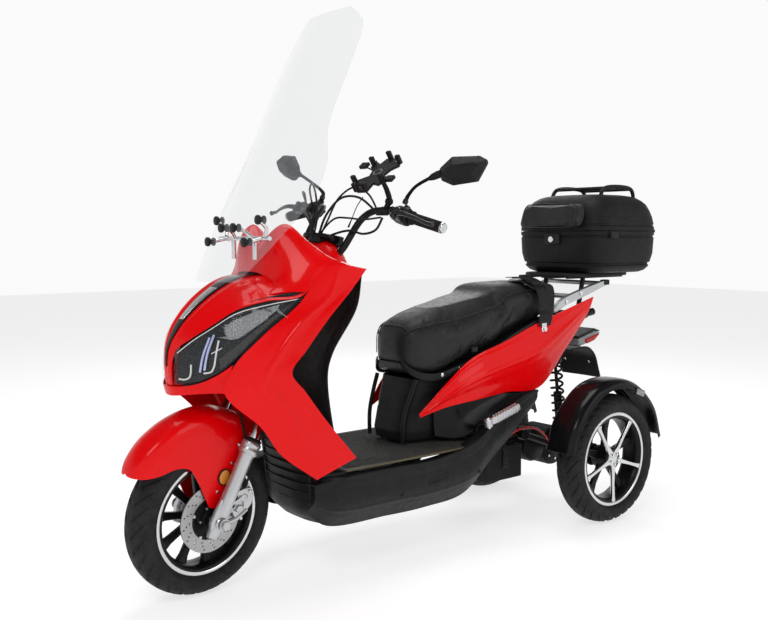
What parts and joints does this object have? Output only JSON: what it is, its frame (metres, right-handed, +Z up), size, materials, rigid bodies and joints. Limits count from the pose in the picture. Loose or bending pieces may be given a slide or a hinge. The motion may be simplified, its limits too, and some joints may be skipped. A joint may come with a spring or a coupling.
{
  "type": "mobility scooter",
  "caption": "Three-wheeled electric mobility scooter with a tall clear windscreen, red body covers, stepped seat, low footboard and a rear top box.",
  "frame": {"origin": "on the ground at the middle of the scooter's length, in its middle plane", "axes": "+Z up, the scooter drives towards -Y, +X is the rider's left"},
  "size_m": [0.9199, 2.1405, 1.6941],
  "materials": {
    "tyre_rubber": "moulded tread rubber",
    "black_rim": "satin black cast",
    "polished_rim": "machined and black lacquered",
    "disc_steel": "ground steel",
    "fork_alloy": "silver lacquered cast",
    "chrome_tube": "polished chrome",
    "bar_steel": "satin black powder coat",
    "frame_steel": "black powder coat",
    "grip_rubber": "ribbed matt rubber",
    "control_plastic": "fine grain moulded",
    "lever_alloy": "satin black cast",
    "cable_sheath": "smooth sheath",
    "red_cover": "high gloss lacquer",
    "black_cover": "grained moulding",
    "lamp_lens": "clear lens over dark reflector",
    "clear_screen": "clear tinted sheet",
    "floor_mat": "ribbed mat",
    "battery_case": "moulded",
    "box_plastic": "grained moulding",
    "seat_vinyl": "stitched leathercloth",
    "webbing": "woven strap",
    "rail_alloy": "silver lacquered cast"
  },
  "bodies": {
    "chassis": {"headlight_left": "lamp_lens", "headlight_right": "lamp_lens", "nose_cover": "red_cover", "side_fairing_left": "red_cover", "side_fairing_right": "red_cover", "dash_cover": "red_cover", "leg_shield": "black_cover", "front_grille": "black_cover", "belly_panel_left": "black_cover", "belly_panel_right": "black_cover", "floorboard": "floor_mat", "windscreen": "clear_screen", "windscreen_bracket": "control_plastic", "main_frame": "frame_steel", "battery_pack": "battery_case", "seat_box": "black_cover", "tail_panel_left": "red_cover", "tail_panel_right": "red_cover", "grab_rail": "rail_alloy", "rack_plate": "black_cover", "top_box_base": "box_plastic", "tail_lamp": "lamp_lens", "plate_bracket": "black_cover", "shock_left": "frame_steel", "shock_right": "frame_steel"},
    "steering": {"fork_yoke": "chrome_tube", "handlebar": "bar_steel", "grip_left": "grip_rubber", "switch_housing_left": "control_plastic", "switch_housing_right": "control_plastic", "control_cables": "cable_sheath"},
    "front_slider": {"fork_slider_left": "fork_alloy", "fork_slider_right": "fork_alloy", "front_fender": "red_cover", "front_axle": "fork_alloy", "brake_caliper": "fork_alloy"},
    "front_wheel": {"front_tyre": "tyre_rubber", "front_rim": "black_rim", "brake_disc": "disc_steel"},
    "brake_lever_left": {"brake_lever_left": "lever_alloy"},
    "brake_lever_right": {"brake_lever_right": "lever_alloy"},
    "throttle": {"throttle_grip": "grip_rubber"},
    "mirror_left": {"mirror_left": "control_plastic"},
    "mirror_right": {"mirror_right": "control_plastic"},
    "phone_cradle": {"phone_cradle": "control_plastic"},
    "horn_button": {"horn_button": "control_plastic"},
    "ignition_key": {"ignition_key": "control_plastic"},
    "rear_axle": {"rear_axle_housing": "frame_steel", "mudguard_left": "black_cover", "mudguard_right": "black_cover"},
    "rear_wheel_left": {"rear_tyre_left": "tyre_rubber", "rear_rim_left": "polished_rim"},
    "rear_wheel_right": {"rear_tyre_right": "tyre_rubber", "rear_rim_right": "polished_rim"},
    "seat": {"seat_cushion": "seat_vinyl", "seat_strap": "webbing"},
    "top_box_lid": {"top_box_lid": "box_plastic", "top_box_pad": "seat_vinyl"},
    "footpeg_left": {"footpeg_left": "rail_alloy"},
    "footpeg_right": {"footpeg_right": "rail_alloy"}
  },
  "joints": [
    {"name": "steering", "type": "hinge", "parent": "chassis", "child": "steering", "pos_m": [0, -0.79746, 0.21173], "axis": [0, 0.4695, 0.8829], "range_deg": [-42.5, 27.5]},
    {"name": "front_suspension", "type": "slide", "parent": "steering", "child": "front_slider", "axis": [0, 0.4695, 0.8829], "range_m": [0, 0.045], "stiffness_N_per_m": 9000, "springref_m": -0.048},
    {"name": "front_wheel_spin", "type": "hinge", "parent": "front_slider", "child": "front_wheel", "pos_m": [0.00457, -0.8281, 0.22802], "axis": [0.9914, 0.1152, -0.0613], "continuous": true},
    {"name": "brake_lever_left_pull", "type": "hinge", "parent": "steering", "child": "brake_lever_left", "pos_m": [0.22126, -0.28737, 1.085], "axis": [0.0931, 0.623, 0.7766], "range_deg": [0, 14], "stiffness_Nm_per_rad": 0.5, "springref_deg": -17.19},
    {"name": "brake_lever_right_pull", "type": "hinge", "parent": "steering", "child": "brake_lever_right", "pos_m": [-0.22418, -0.33915, 1.11253], "axis": [0.138, -0.5962, -0.7909], "range_deg": [0, 14], "stiffness_Nm_per_rad": 0.5, "springref_deg": -17.19},
    {"name": "throttle_twist", "type": "hinge", "parent": "steering", "child": "throttle", "pos_m": [-0.23372, -0.27517, 1.10057], "axis": [-0.9895, -0.0481, -0.1363], "range_deg": [0, 70], "stiffness_Nm_per_rad": 0.2, "springref_deg": -28.65},
    {"name": "mirror_left_turn", "type": "hinge", "parent": "steering", "child": "mirror_left", "pos_m": [0.17976, -0.21076, 1.12295], "axis": [0, 0.4695, 0.8829], "range_deg": [-20, 20]},
    {"name": "mirror_right_turn", "type": "hinge", "parent": "steering", "child": "mirror_right", "pos_m": [-0.19699, -0.25455, 1.14623], "axis": [0, 0.4695, 0.8829], "range_deg": [-20, 20]},
    {"name": "phone_cradle_tilt", "type": "hinge", "parent": "steering", "child": "phone_cradle", "pos_m": [0.12821, -0.268, 1.19303], "axis": [0.9914, 0.1152, -0.0613], "range_deg": [-15, 15]},
    {"name": "horn_press", "type": "slide", "parent": "steering", "child": "horn_button", "axis": [0.2974, -0.7618, 0.5755], "range_m": [0, 0.002], "stiffness_N_per_m": 300, "springref_m": -0.004},
    {"name": "ignition_turn", "type": "hinge", "parent": "chassis", "child": "ignition_key", "pos_m": [0.064, -0.3734, 0.851], "axis": [0, 0.9912, 0.1322], "range_deg": [0, 90]},
    {"name": "rear_axle_swing", "type": "hinge", "parent": "chassis", "child": "rear_axle", "pos_m": [0, 0.4276, 0.3], "axis": [1, 0, 0], "range_deg": [0, 7], "stiffness_Nm_per_rad": 1400, "springref_deg": -6.96, "deforming": ["shock_left", "shock_right"]},
    {"name": "rear_wheel_left_spin", "type": "hinge", "parent": "rear_axle", "child": "rear_wheel_left", "pos_m": [0.303, 0.62364, 0.22756], "axis": [1, 0, 0], "continuous": true},
    {"name": "rear_wheel_right_spin", "type": "hinge", "parent": "rear_axle", "child": "rear_wheel_right", "pos_m": [-0.303, 0.62364, 0.22756], "axis": [1, 0, 0], "continuous": true},
    {"name": "seat_lift", "type": "hinge", "parent": "chassis", "child": "seat", "pos_m": [0, -0.1424, 0.6], "axis": [1, 0, 0], "range_deg": [0, 55]},
    {"name": "lid_lift", "type": "hinge", "parent": "chassis", "child": "top_box_lid", "pos_m": [0, 0.6736, 1.036], "axis": [1, 0, 0], "range_deg": [0, 75]},
    {"name": "footpeg_left_fold", "type": "hinge", "parent": "chassis", "child": "footpeg_left", "pos_m": [0.23, 0.1036, 0.406], "axis": [0, 0, 1], "range_deg": [-90, 0]},
    {"name": "footpeg_right_fold", "type": "hinge", "parent": "chassis", "child": "footpeg_right", "pos_m": [-0.23, 0.1036, 0.406], "axis": [0, 0, 1], "range_deg": [0, 90]}
  ]
}
